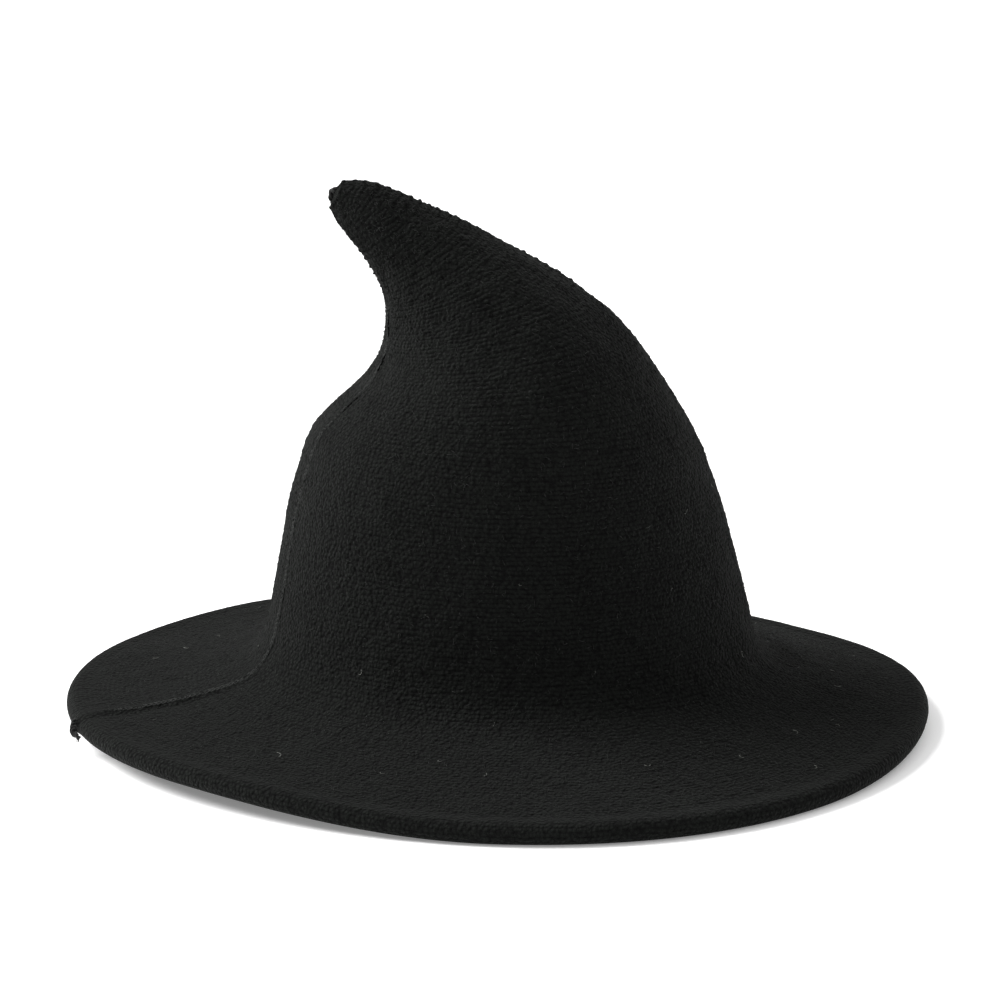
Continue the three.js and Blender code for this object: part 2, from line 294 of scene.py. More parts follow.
def relief(course, angle, ring):
    """How far the knit stands out: uneven ridges, one for each course and every second one heavier, that are
    broken into stitches of different sizes and felted more in some patches. It fades to nothing where two
    pieces of the knitting meet."""
    calm = np.clip(np.abs(course[..., None] - JOINS).min(-1) / 2, 0, 1)
    sway = 0.5 * np.sin(7 * angle + 0.6 * course) + 0.3 * np.sin(19 * angle - 0.35 * course + 1.3)
    course = course + 0.3 * calm * (sway + 0.35 * np.sin(47 * angle + 0.9 * course))
    row = np.floor(course)
    wale = (angle - SEAM) / (2 * math.pi) * wales_at(course) + 0.5 * (row % 2)
    chance = scatter(row, np.floor(wale + 0.5))
    height = np.interp(ring, (0, FOOT, HEAD_LINE, WALL_TOP, NECK, TIP_BEND, TIP_END),
                       (0.32, 0.3, 0.35, 0.5, 0.7, 0.85, 0.4))
    light = np.interp(ring, (WALL_TOP, NECK, TIP_BEND), (0.7, 0.6, 0.35))
    heavy = np.where(row % 2 == 0, 1.0, light)
    ridge = np.abs(np.sin(math.pi * course))
    bead = 0.6 + 0.4 * np.cos(2 * math.pi * wale)
    patch = 0.75 + 0.45 * lumps(np.stack([angle * 75, course * COURSE, np.zeros_like(course)], -1), 12)
    return height * heavy * ridge * bead * patch * (0.5 + 0.85 * chance)


def wobble(points, ring):
    """Unevenness of hand-shaped wool, larger towards the tip, and the grain of its felted stitches."""
    lump = np.interp(ring, (0, NECK, LAST), (0.22, 0.3, 0.6))
    return 0.7 * lumps(points, 42) + lump * lumps(points, 8) + 0.2 * lumps(points, 1.6)


def seam_step(ring, angle):
    """The linked seam: the fabric on the far side of it stands up and the near side dips."""
    reach = np.interp(ring, (0, FOOT, NECK, LAST), (165, 92, 45, 8))
    away = ((angle - SEAM + math.pi) % (2 * math.pi) - math.pi) * reach
    high = np.interp(ring, (0, 1.5, FOOT, HEAD_LINE, LAST), (1.6, 1.3, 0.3, 0.12, 0.1))
    far_side = high * np.exp(-np.abs(away) / 9) * np.clip(0.5 - away / 5, 0, 1)
    near_side = -0.3 * high * np.exp(-np.abs(away) / 7) * np.clip(0.5 + away / 5, 0, 1)
    return far_side + near_side


def fabric_points(rings, depths, courses, angles):
    """A grid of points, one row for each ring and one column for each angle. Depth is into the fabric."""
    ring, angle = np.meshgrid(rings, angles, indexing="ij")
    depth = np.broadcast_to(np.asarray(depths, float)[:, None], ring.shape)
    course = np.broadcast_to(np.asarray(courses, float)[:, None], ring.shape)
    base = on_fabric(ring, angle)
    out = wobble(base, ring) + seam_step(ring, angle) - depth
    out = out + np.where(depth <= 0, relief(course, angle, ring), 0)
    return base + outward(ring, angle) * out[..., None]


def place_on_fabric(ring, angle, height=0.0):
    """Origins and axes (round, up, out) on the shaped fabric, for what is sewn to it or grows from it."""
    ring, angle = np.broadcast_arrays(np.asarray(ring, float), np.asarray(angle, float))
    out = outward(ring, angle)
    base = on_fabric(ring, angle)
    lift = wobble(base, ring) + seam_step(ring, angle) + height
    sideways = unit(round_it(ring, angle))
    return base + out * lift[..., None], np.stack([sideways, np.cross(out, sideways), out], -1)


# ---------------------------------------------------------------------------
# Meshes


def rolled(name, points, uv_u, uv_v, creases=()):
    """A grid rolled into the given points, metres from millimetres, and closed where its edges meet.
    uv_u has a value for each row of faces and column of points, uv_v one for each row of points. creases
    are the rows of points that stay sharp."""
    rows, columns = points.shape[0] - 1, points.shape[1] - 1
    bm = bmesh.new()
    bmesh.ops.create_grid(bm, x_segments=columns, y_segments=rows, size=0.5)
    mesh = bpy.data.meshes.new(name)
    bm.to_mesh(mesh)
    bm.free()
    flat = np.zeros(len(mesh.vertices) * 3, np.float32)
    mesh.vertices.foreach_get("co", flat)
    flat = flat.reshape(-1, 3)
    column = np.rint((flat[:, 0] + 0.5) * columns).astype(int)
    row = np.rint((flat[:, 1] + 0.5) * rows).astype(int)
    corner = np.zeros(len(mesh.loops), np.int32)
    mesh.loops.foreach_get("vertex_index", corner)
    face_row = np.repeat(row[corner].reshape(-1, 4).min(1), 4)
    uv = np.stack([uv_u[face_row, column[corner]], uv_v[row[corner]]], -1)
    layer = mesh.uv_layers.new(name="stitches")
    layer.data.foreach_set("uv", uv.astype(np.float32).ravel())
    ends = np.zeros(len(mesh.edges) * 2, np.int32)
    mesh.edges.foreach_get("vertices", ends)
    ends = ends.reshape(-1, 2)
    in_row = (row[ends[:, 0]] == row[ends[:, 1]]) & np.isin(row[ends[:, 0]], creases)
    in_end = (column[ends[:, 0]] == column[ends[:, 1]]) & np.isin(column[ends[:, 0]], (0, columns))
    closed = np.allclose(points[:, 0], points[:, -1], atol=1e-3)
    sharp = mesh.attributes.new("sharp_edge", "BOOLEAN", "EDGE")
    sharp.data.foreach_set("value", in_row | (in_end & (not closed)))
    mesh.vertices.foreach_set("co", (points[row, column] * MM).astype(np.float32).ravel())
    tidy(mesh)
    return shown(name, mesh)


def tidy(mesh):
    """Merges doubles, closes open ends and turns every face outwards."""
    bm = bmesh.new()
    bm.from_mesh(mesh)
    bmesh.ops.remove_doubles(bm, verts=bm.verts, dist=1e-6)
    bmesh.ops.delete(bm, geom=[e for e in bm.edges if not e.link_faces], context="EDGES")
    bmesh.ops.holes_fill(bm, edges=[e for e in bm.edges if len(e.link_faces) == 1], sides=0)
    bmesh.ops.recalc_face_normals(bm, faces=bm.faces)
    bm.to_mesh(mesh)
    bm.free()
    mesh.polygons.foreach_set("use_smooth", [True] * len(mesh.polygons))


def stamped(name, base, origins, axes, sizes=None):
    """Copies of a small shape, in millimetres, set on origins and axes, an array of 3 x 3 matrices whose
    columns are the directions of the shape's x, y and z. sizes are the scales of x, y and z."""
    count, length = len(origins), len(base.verts)
    base.verts.ensure_lookup_table()
    shape = np.array([vert.co for vert in base.verts])
    while len(base.verts) < count * length:
        bmesh.ops.duplicate(base, geom=base.verts[:] + base.edges[:] + base.faces[:])
        base.verts.ensure_lookup_table()
    bmesh.ops.delete(base, geom=base.verts[count * length:], context="VERTS")
    mesh = bpy.data.meshes.new(name)
    base.to_mesh(mesh)
    base.free()
    scaled = shape[None] * (np.ones((count, 1, 3)) if sizes is None else np.asarray(sizes)[:, None, :])
    points = np.asarray(origins)[:, None, :] + np.einsum("nij,nkj->nki", axes, scaled)
    mesh.vertices.foreach_set("co", (points * MM).astype(np.float32).ravel())
    mesh.polygons.foreach_set("use_smooth", [True] * len(mesh.polygons))
    mesh.update()
    return shown(name, mesh)


def tube(route, radii, sides=6):
    """A bmesh of a closed tube along a route of points, in millimetres, one radius at each point."""
    bm = bmesh.new()
    route = [Vector(p) for p in route]
    last = len(route) - 1
    ahead = [(route[min(i + 1, last)] - route[max(i - 1, 0)]).normalized() for i in range(last + 1)]
    ring = bmesh.ops.create_circle(bm, cap_ends=True, segments=sides, radius=radii[0])["verts"]
    turn = Vector((0, 0, 1)).rotation_difference(ahead[0])
    bmesh.ops.transform(bm, matrix=Matrix.Translation(route[0]) @ turn.to_matrix().to_4x4(), verts=ring)
    for i in range(1, len(route)):
        edges = [e for e in bm.edges if e.verts[0] in ring and e.verts[1] in ring]
        made = bmesh.ops.extrude_edge_only(bm, edges=edges)["geom"]
        ring = [v for v in made if isinstance(v, bmesh.types.BMVert)]
        swing = ahead[i - 1].rotation_difference(ahead[i]).to_matrix().to_4x4()
        grow = Matrix.Scale(radii[i] / radii[i - 1], 4)
        move = Matrix.Translation(route[i]) @ swing @ grow @ Matrix.Translation(-route[i - 1])
        bmesh.ops.transform(bm, matrix=move, verts=ring)
    bmesh.ops.holes_fill(bm, edges=[e for e in bm.edges if len(e.link_faces) == 1], sides=0)
    bmesh.ops.recalc_face_normals(bm, faces=bm.faces)
    return bm


def shown(name, mesh):
    obj = bpy.data.objects.new(name, mesh)
    bpy.context.scene.collection.objects.link(obj)
    return obj


def shell_rows(lower, upper, per_course, closed_top=False):
    """Rows of a stretch of fabric between two courses: up the outer face, then down the inner face.
    Also the rows at its four rims."""
    count = round((upper - lower) * per_course)
    outer = np.linspace(lower, upper, count + 1)
    inner = np.linspace(upper, lower, max(6, count // 6) + 1)
    courses = np.concatenate([outer, inner, outer[:1]])
    depths = np.concatenate([np.zeros(len(outer)), np.full(len(inner), FABRIC), [0]])
    rings = ring_at(courses)
    if closed_top:
        rings[count] = TIP_END
        rings[count + 1] = TIP_END
    return rings, depths, courses, (0, count, count + 1, len(courses) - 2, len(courses) - 1)


def stitch_uv(courses, angles):
    turn = (np.asarray(angles) - SEAM) / (2 * math.pi)
    lower = np.minimum(courses[:-1], courses[1:])
    return turn[None, :] * wales_at(lower + 0.01)[:, None], np.asarray(courses)


def fabric_piece(name, lower, upper, angles, per_course, closed_top=False):
    rings, depths, courses, rims = shell_rows(lower, upper, per_course, closed_top)
    points = fabric_points(rings, depths, courses, angles)
    return rolled(name, points, *stitch_uv(courses, angles), rims)


# ---------------------------------------------------------------------------
# Materials


def linear(hex_colour):
    """The linear colour of an sRGB hex value, with alpha 1."""
    value = hex_colour.lstrip("#")
    srgb = [int(value[i:i + 2], 16) / 255 for i in (0, 2, 4)]
    return [c / 12.92 if c <= 0.04045 else ((c + 0.055) / 1.055) ** 2.4 for c in srgb] + [1.0]


def add(tree, kind, inputs=None, **settings):
    """Adds a ShaderNode of a kind. inputs maps a socket's name or number to a value, to the output that feeds
    it, or to a node whose first output does."""
    node = tree.nodes.new("ShaderNode" + kind)
    for name, value in settings.items():
        setattr(node, name, value)
    for socket, value in (inputs or {}).items():
        if isinstance(value, bpy.types.Node):
            value = value.outputs[0]
        if isinstance(value, bpy.types.NodeSocket):
            tree.links.new(value, node.inputs[socket])
        else:
            node.inputs[socket].default_value = value
    return node


def new_material(name, **sockets):
    """A material with constants on its shader's sockets, spaces as _, what adds its nodes, and the
    coordinates of the object and of the piece's own UV map."""
    material = bpy.data.materials.new(name)
    material.use_nodes = True
    shader = material.node_tree.nodes["Principled BSDF"]
    for socket, value in sockets.items():
        shader.inputs[socket.replace("_", " ")].default_value = value
    node = partial(add, material.node_tree)
    where = node("TexCoord").outputs
    return material, node, where["Object"], where["UV"]


def surface(material, tone, dark, light, start=0.3, end=0.75, height=None, relief_mm=0.0, strength=1.0):
    """Colours a material from dark to light as tone goes from start to end, and raises it where height is
    given."""
    tree = material.node_tree
    shader = tree.nodes["Principled BSDF"]
    colour = add(tree, "ValToRGB", {"Fac": tone})
    for element, place, tint in zip(colour.color_ramp.elements, (start, end), (dark, light)):
        element.position, element.color = place, tint
    tree.links.new(colour.outputs["Color"], shader.inputs["Base Color"])
    if height is not None:
        bump = add(tree, "Bump", {"Strength": strength, "Distance": relief_mm * MM, "Height": height})
        tree.links.new(bump.outputs["Normal"], shader.inputs["Normal"])
    return material


def shade(colour, times):
    """A colour made lighter or darker, with alpha 1."""
    return [times * c for c in colour[:3]] + [1.0]


def fulled_wool(dark, light):
    """Black knitted wool, washed until it fulls: matt fibres felted over rounded stitches, which show as
    grains of uneven height, painted lighter on their crests and darker between them as painted light and
    shade, under a nap that catches grazing light."""
    material, node, place, stitches = new_material(
        "fulled_black_wool", Roughness=0.95, Specular_IOR_Level=0.1, Sheen_Weight=0.03, Sheen_Roughness=0.4,
        Sheen_Tint=linear("#d5d8d6"),
    )
    # Wool fibres are 0.03 mm. They felt into round tufts 1.5 mm apart, and are themselves drawn at 0.8 mm,
    # as coarse as they need to be to show.
    tuft = node("TexVoronoi", {"Vector": place, "Scale": 1 / (1.5 * MM)})
    crest = node("Math", {0: 1.0, 1: tuft.outputs["Distance"]}, operation="SUBTRACT")
    fibre = node("TexNoise", {"Vector": place, "Scale": 1 / (0.8 * MM), "Detail": 2.0, "Roughness": 0.7})
    fibre = fibre.outputs["Fac"]
    felt = node("TexNoise", {"Vector": place, "Scale": 1 / (22 * MM), "Detail": 2.0})
    # The stitches of the knit, from the piece's own wale and course numbers, pushed about by the felting.
    drift = node("TexNoise", {"Vector": place, "Scale": 1 / (5 * MM), "Detail": 1.0})
    shove = node("VectorMath", {0: drift.outputs["Color"], 1: (0.5, 0.5, 0.5)}, operation="SUBTRACT")
    shifted = node("VectorMath", {0: shove, 1: (0.9, 0.9, 0.9), 2: stitches}, operation="MULTIPLY_ADD")
    split = node("SeparateXYZ", {0: shifted})
    row = node("Math", {0: split.outputs["Y"]}, operation="FLOOR")
    across = node("Math", {0: row, 1: 0.5, 2: split.outputs["X"]}, operation="MULTIPLY_ADD")
    across = node("Math", {0: across, 1: 0.5}, operation="PINGPONG")
    up = node("Math", {0: split.outputs["Y"], 1: 0.5}, operation="PINGPONG")
    loop = node("Math", {0: across, 1: up}, operation="MULTIPLY")
    height = node("Math", {0: loop, 1: 1.0, 2: crest}, operation="MULTIPLY_ADD")
    height = node("Math", {0: fibre, 1: 0.5, 2: height}, operation="MULTIPLY_ADD")
    # The groove between two courses is painted darker, as painted shade, for a quarter of a course on each
    # side.
    groove_shade = node("Math", {0: up, 1: 4.0}, operation="MULTIPLY", use_clamp=True)
    # The colour is painted lighter on the tufts' crests and darker away from them, as painted light and
    # shade, over random felt patches and fibre flecks.
    tone = node("Math", {0: felt.outputs["Fac"], 1: 0.3, 2: -0.6}, operation="MULTIPLY_ADD")
    for part, share in ((groove_shade, 0.35), (crest, 0.8), (fibre, 0.5)):
        tone = node("Math", {0: part, 1: share, 2: tone}, operation="MULTIPLY_ADD")
    return surface(material, tone, dark, light, 0.2, 0.75, height, relief_mm=0.8)


def yarn_wool(name, dark, light):
    """Plied wool yarn: matt, with its plies and loose fibres as short slanted ridges."""
    material, node, place, _ = new_material(name, Roughness=0.9, Specular_IOR_Level=0.2, Sheen_Weight=0.08)
    ply = node("TexWave", {"Vector": place, "Scale": 0.5 / MM, "Distortion": 6.0, "Detail": 2.0},
               bands_direction="DIAGONAL")
    fibre = node("TexNoise", {"Vector": place, "Scale": 1 / (0.6 * MM), "Detail": 1.0}).outputs["Fac"]
    height = node("Math", {0: ply.outputs["Fac"], 1: 0.6, 2: fibre}, operation="MULTIPLY_ADD")
    return surface(material, fibre, dark, light, height=height, relief_mm=0.3, strength=0.9)


def grosgrain(dark):
    """Black rayon grosgrain ribbon: fine cross ribs with a dull shine along them."""
    material, node, place, weave = new_material(
        "black_grosgrain_ribbon", Roughness=0.5, Specular_IOR_Level=0.4, Sheen_Weight=0.1,
    )
    # Warp threads, 0.4 mm apart along the ribbon's width. The ribs across it are in the mesh.
    threads = node("TexWave", {"Vector": weave, "Scale": 0.75, "Distortion": 1.0}, bands_direction="Y")
    slub = node("TexNoise", {"Vector": place, "Scale": 1 / (3 * MM), "Detail": 2.0}).outputs["Fac"]
    height = node("Math", {0: threads.outputs["Fac"], 1: 0.5, 2: slub}, operation="MULTIPLY_ADD")
    return surface(material, slub, dark, shade(dark, 3), height=height, relief_mm=0.12, strength=0.5)


def woven_tape(light):
    """Undyed satin label tape: a close weave with a soft shine, slightly greyed where it has been held."""
    material, node, place, weave = new_material("undyed_satin_tape", Roughness=0.55, Sheen_Weight=0.1)
    # Weft threads 0.3 mm apart, the finest that show from inside the hat.
    weft = node("TexWave", {"Vector": weave, "Scale": 1.0, "Distortion": 0.4}, bands_direction="Y")
    dust = node("TexNoise", {"Vector": place, "Scale": 1 / (6 * MM), "Detail": 3.0}).outputs["Fac"]
    weft = weft.outputs["Fac"]
    return surface(material, dust, shade(light, 0.8), light, height=weft, relief_mm=0.1, strength=0.5)


def thread(name, dark, light):
    """Spun polyester sewing thread: a fine twist with a slight shine."""
    material, node, place, _ = new_material(name, Roughness=0.45)
    # The twist turns once in about 0.8 mm.
    twist = node("TexWave", {"Vector": place, "Scale": 0.4 / MM, "Distortion": 2.0},
                 bands_direction="DIAGONAL").outputs["Fac"]
    return surface(material, twist, dark, light, height=twist, relief_mm=0.1, strength=0.6)


def paper():
    """Matt white background paper with a tooth too faint to see as a pattern, which glows faintly as painted
    light that lifts the shadows on it.
    """
    # The emission is painted light, not a lamp: it brightens the floor's shadows.
    material, node, place, _ = new_material("matt_white_paper", Roughness=0.95, Specular_IOR_Level=0.1,
                                            Emission_Color=(1, 1, 1, 1), Emission_Strength=0.2)
    tooth = node("TexNoise", {"Vector": place, "Scale": 1 / (2 * MM)})
    return surface(material, tooth.outputs["Fac"], linear("#f8f8f8"), linear("#fafafa"))


# ---------------------------------------------------------------------------
# What a user would change


def colour_property(name, description, value):
    return FloatVectorProperty(name=name, description=description, subtype="COLOR", size=4, min=0, max=1,
                               default=linear(value))


def length_property(name, description, millimetres, least):
    return FloatProperty(name=name, description=description, unit="LENGTH", default=millimetres * MM,
                         min=least * MM)


class HatWoolSettings(bpy.types.PropertyGroup):
    """The wool fabric."""

    # Painted shade: the dark end of the wool's colour, used in the hollows between stitches and the grooves
    # between courses, and in darker felt.
    shaded_hollows: colour_property("Wool, hollows", "Colour of the black wool between its stitches", "#040404")
    # The light end: the wool's own colour, which the tufts' crests are painted up to as painted light.
    tufts: colour_property("Wool, tufts", "Colour of the tufts of fibre over the stitches", "#111311")
    nap: IntProperty(name="Nap fibres", description="Loose fibres on each part, and fewer on the horn",
                     default=3600, min=3)
    nap_length: length_property("Nap length", "Length of a loose fibre", 1.5, 0.1)
    lint: IntProperty(name="Lint", description="Pale fibres on each half of the brim, and on the crown",
                      default=20, min=1)


class HatTrimSettings(bpy.types.PropertyGroup):
    """What is sewn to the fabric."""

    ribbon: colour_property("Ribbon", "Colour of the sweatband", "#0c0c0d")
    thread: colour_property("Thread", "Colour of the sewing thread", "#1c1c1d")
    label: colour_property("Label", "Colour of the blank size label", "#d9d6cf")
    link: length_property("Seam stitch", "Length of a linking stitch in the back seam", 2.1, 0.5)
    hem_stitch: length_property("Hem stitch", "Distance from one hem stitch to the next", 6, 1)


class HatStudioSettings(bpy.types.PropertyGroup):
    """The camera."""

    distance: length_property("Camera distance", "From the camera to the point it aims at", 1587, 500)
    elevation: FloatProperty(name="Camera elevation", description="Angle of the camera above the horizon",
                             subtype="ANGLE", default=math.radians(15))
    aim: FloatProperty(name="Aim height", description="Height of the point that the camera aims at",
                       unit="LENGTH", default=0.411 * CAD_BOX[1].z)
    lens: FloatProperty(name="Focal length", description="Focal length on a sensor 36 mm wide",
                        subtype="DISTANCE_CAMERA", default=135)


def made_once(name, make, *colours):
    """A material shared by several pieces."""
    return bpy.data.materials.get(name) or make(*colours)


def wool_material(context):
    wool = context.scene.hat_wool
    return made_once("fulled_black_wool", fulled_wool, list(wool.shaded_hollows), list(wool.tufts))


# ---------------------------------------------------------------------------
# Moving with the joints


# The joint at each bend, the way the fabric runs there, and how far before and after the hinge the bend
# starts and ends, in millimetres.
BENDS = {
    "neck_bend": ("horn_straighten", Vector(chord(NECK)), 22, 20),
    "tip_bend": ("tip_straighten", Vector(chord(TIP_BEND)), 15, 16),
    "front_bend": ("brim_front_turn_up", Vector((1, 0, 0)), 13, 17),
    "back_bend": ("brim_back_turn_up", Vector((-1, 0, 0)), 13, 17),
}


def move_with(obj, place):
    """Sets a piece on the body that place names; a piece at one of the BENDS only has its transform baked in.
    """
    if place not in BENDS:
        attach(obj, place)
        return
    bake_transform(obj)


def finish_piece(obj, material, slot, place, *nodes):
    """Gives a piece its material, sets it on its body or bakes it in place, and hides the frame's nodes that
    it stands for.
    """
    obj.data.materials.clear()
    obj.data.materials.append(material)
    move_with(obj, place)
    if nodes:
        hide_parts(*nodes)
    return obj


# ---------------------------------------------------------------------------
# Operators: the fabric


class HAT_OT_brim(bpy.types.Operator):
    """Knits the front and back halves of the brim, and the edge of each with its share of the turned hem"""

    bl_idname = "hat.brim"
    bl_label = "Brim"

    def execute(self, context):
        for end in ("front", "back"):
            angles = brim_angles(end)
            brim = fabric_piece("knit_brim_" + end, EDGE_COURSE, FOOT_COURSE, angles, BRIM_ROWS)
            edge = brim_edge("knit_hem_" + end, angles)
            hems = ("hem_" + end, "hem_left_side", "hem_right_side")
            for piece, nodes in ((brim, ("brim", "brim_" + end)), (edge, hems)):
                finish_piece(piece, wool_material(context), "fulled_wool", end + "_bend", *nodes)
        return {"FINISHED"}


def brim_angles(end):
    """Columns of a half of the brim, closer together within 0.12 radians of the seam."""
    fan = np.linspace(-math.pi / 2, math.pi / 2, BRIM_HALF_COLUMNS + 1)
    if end == "front":
        return fan
    seam = SEAM - math.pi
    near = np.linspace(-1, 1, 91)
    near = 0.12 * np.sign(near) * np.abs(near) ** 1.6
    fan = np.concatenate([fan[fan < seam - 0.123], seam + near, fan[fan > seam + 0.123]])
    return math.pi + fan


def hem_path():
    """The turned edge in section, from under the brim to its top: distance from the edge, and height."""
    arc = np.radians(np.linspace(-90, 90, 13))
    points = [(HEM_LINE + 0.4, FABRIC + 3), (HEM_LINE - 0.4, 1.2), (HEM_LINE - 2.4, 0.0), (7.5, 0.0)]
    points += [(HEM_ROLL * (1 - math.cos(a)), HEM_ROLL * (1 + math.sin(a))) for a in arc]
    points += [(7.2, 8.95), (9.4, 8.75), (HEM_LINE, 9.0)]
    return np.array(points)


def hem_points(angles, per_course):
    """Rows of points over the hem's section, with their course numbers, which end at 0 on the hem line."""
    path = hem_path()
    along = running(np.hypot(*np.diff(path, axis=0).T))
    at = np.linspace(0, along[-1], round(along[-1] / COURSE * per_course) + 1)
    inward = np.interp(at, along, path[:, 0])
    height = np.interp(at, along, path[:, 1])
    courses = (at - along[-1]) / COURSE
    step_in, step_up = np.gradient(inward), np.gradient(height)
    length = np.hypot(step_in, step_up)
    out_side, out_up = (step_up / length)[:, None], (step_in / length)[:, None]
    radial = unit(np.stack([np.cos(angles) * BRIM_DEPTH, np.sin(angles) * BRIM_LENGTH], -1))
    x = (BRIM_LENGTH - inward)[:, None] * np.cos(angles)
    y = (BRIM_DEPTH - inward)[:, None] * np.sin(angles) * skew(angles)
    base = np.stack([x, y, height[:, None] + edge_lift(angles)], -1)
    facing = np.stack([out_side * radial[:, 0], out_side * radial[:, 1], out_up * np.ones_like(angles)], -1)
    # The foot of the hem stays flat. Over the outer face the knit and the lumps come in, up to the hem line.
    above = np.clip(height / 3, 0, 1)[:, None] * np.ones_like(angles)
    joined = np.interp(at, (along[-1] - 9, along[-1]), (0, 1))[:, None]
    soft = wobble(base, 0.0) * (0.35 + 0.65 * joined)
    soft = soft + seam_step(0.0, angles[None, :]) * (0.5 + 0.5 * joined)
    grid = np.broadcast_to(courses[:, None], above.shape)
    knit = relief(grid, np.broadcast_to(angles, above.shape), np.zeros_like(above))
    return base + facing * ((soft + 0.4 * knit) * above)[..., None], courses


def brim_edge(name, angles):
    """The turned hem and the first courses of the brim above it."""
    hem, hem_courses = hem_points(angles, BRIM_ROWS)
    rings, depths, courses, rims = shell_rows(0, EDGE_COURSE, BRIM_ROWS)
    fabric = fabric_points(rings[:-1], depths[:-1], courses[:-1], angles)
    points = np.concatenate([hem[:-1], fabric, hem[:1]])
    all_courses = np.concatenate([hem_courses[:-1], courses[:-1], hem_courses[:1]])
    creases = [0, len(points) - 1] + [rim + len(hem) - 1 for rim in rims[1:3]]
    return rolled(name, points, *stitch_uv(all_courses, angles), creases)


def round_the_hat(columns):
    return SEAM + np.linspace(0, 2 * math.pi, columns + 1)


class HAT_OT_crown(bpy.types.Operator):
    """Knits the crown in bands: three for its wall, and two for the top"""

    bl_idname = "hat.crown"
    bl_label = "Crown"

    def execute(self, context):
        wall = (("lower", FOOT_COURSE, LOWER_COURSE), ("middle", LOWER_COURSE, HEAD_COURSE),
                ("upper", HEAD_COURSE, WALL_COURSE))
        top = (("shoulder", WALL_COURSE, SHOULDER_COURSE), ("neck", SHOULDER_COURSE, HORN_COURSE_NUMBER))
        parts = ((wall, WALL_COLUMNS, ROOT, "crown_wall"), (top, TOP_COLUMNS, "neck_bend", "crown_top"))
        for bands, columns, place, node in parts:
            for name, lower, upper in bands:
                band = fabric_piece("knit_crown_" + name, lower, upper, round_the_hat(columns), CROWN_ROWS)
                finish_piece(band, wool_material(context), "fulled_wool", place, node)
        return {"FINISHED"}


class HAT_OT_horn(bpy.types.Operator):
    """Knits the horn and its drawn-in tip"""

    bl_idname = "hat.horn"
    bl_label = "Horn"

    def execute(self, context):
        horn = fabric_piece("knit_horn", HORN_COURSE_NUMBER, LAST_COURSE, round_the_hat(HORN_COLUMNS),
                            CROWN_ROWS, closed_top=True)
        finish_piece(horn, wool_material(context), "fulled_wool", "tip_bend", "horn", "horn_tip")
        return {"FINISHED"}


# ---------------------------------------------------------------------------
# Operators: what is sewn to the fabric


def rings_along(angle, lower, upper, step):
    """Ring numbers a given length apart along the fabric at one angle, from one ring to another."""
    rings = np.linspace(lower, upper, 400)
    along = running(np.linalg.norm(np.diff(on_fabric(rings, angle), axis=0), axis=1))
    count = max(1, round(along[-1] / step))
    return np.interp((np.arange(count) + 0.5) * along[-1] / count, along, rings)


def link_shape():
    """A linking stitch: a loop of yarn that opens towards the next one."""
    route = ((-0.3, -1.2, -0.1), (-0.95, -0.2, 0.35), (-0.9, 0.8, 0.5), (0, 1.4, 0.45), (0.9, 0.8, 0.5),
             (0.95, -0.2, 0.35), (0.3, -1.2, -0.1))
    return tube(route, [0.42] * len(route))


class HAT_OT_seam(bpy.types.Operator):
    """Links the edges of the fabric together up the back with loops of yarn"""

    bl_idname = "hat.seam"
    bl_label = "Back seam"

    def execute(self, context):
        trim = context.scene.hat_trim
        wool = context.scene.hat_wool
        material = yarn_wool("linking_yarn", list(wool.tufts), linear("#1d1f1d"))
        stretches = (
            ("seam_links_brim", 0.1, FOOT, "back_bend", ("seam_brim", "seam_brim_back")),
            ("seam_links_crown", FOOT, HORN_START, "neck_bend", ("seam_crown_wall", "seam_crown_top")),
            ("seam_links_horn", HORN_START, LAST + 0.3, "tip_bend", ("seam_horn", "seam_tip")),
        )
        for name, lower, upper, place, nodes in stretches:
            rings = rings_along(SEAM, lower, upper, trim.link / MM)
            reach = np.linalg.norm(round_it(rings, SEAM), axis=-1) / 0.02
            # The links are felted into the fabric, so that only their crests show.
            origins, axes = place_on_fabric(rings, SEAM - 1.6 / np.maximum(reach, 4), -0.6)
            sizes = np.ones((len(rings), 3)) * (0.85 + 0.3 * scatter(np.arange(len(rings)), 5))[:, None]
            links = stamped(name, link_shape(), origins, axes, sizes)
            finish_piece(links, material, "seam_wool", place, *nodes)
        return {"FINISHED"}


class HAT_OT_hem_stitches(bpy.types.Operator):
    """Sews the turned edge down under the brim, half with the front and half with the back"""

    bl_idname = "hat.hem_stitches"
    bl_label = "Hem stitches"

    def execute(self, context):
        trim = context.scene.hat_trim
        material = sewing_thread(trim)
        count = round(math.pi * (BRIM_LENGTH + BRIM_DEPTH) / 2 * MM / trim.hem_stitch)
        route = ((-0.9, -2.0, -0.4), (-0.5, -1.3, 0.35), (0, 0, 0.6), (0.5, 1.3, 0.35), (0.9, 2.0, -0.4))
        for end, middle in (("front", 0), ("back", math.pi)):
            angles = middle + ((np.arange(count) + 0.5) / count - 0.5) * math.pi
            stitches = stitched("hem_stitches_" + end, route, 0.26, place_on_fabric(0.0, angles, -FABRIC))
            finish_piece(stitches, material, "sewing_thread", end + "_bend")
        return {"FINISHED"}


def stitched(name, route, radius, places):
    """Stitches of one shape on the inner side of the fabric, and standing out from it."""
    origins, axes = places
    return stamped(name, tube(route, [radius] * len(route)), origins, axes * np.array([-1, 1, -1]))


def sewing_thread(trim):
    dark = list(trim.thread)
    return made_once("black_sewing_thread", thread, "black_sewing_thread", dark, shade(dark, 2.5))


BAND_LOWER, BAND_UPPER = ring_at_height(50), ring_at_height(78)
BAND_FACE = FABRIC + 0.3  # depth of the ribbon's outer face
BAND_BACK = BAND_FACE + 1.0
RIBS = 560
LABEL_WIDTH, LABEL_HEIGHT, LABEL_THICKNESS = 20, 24, 0.5


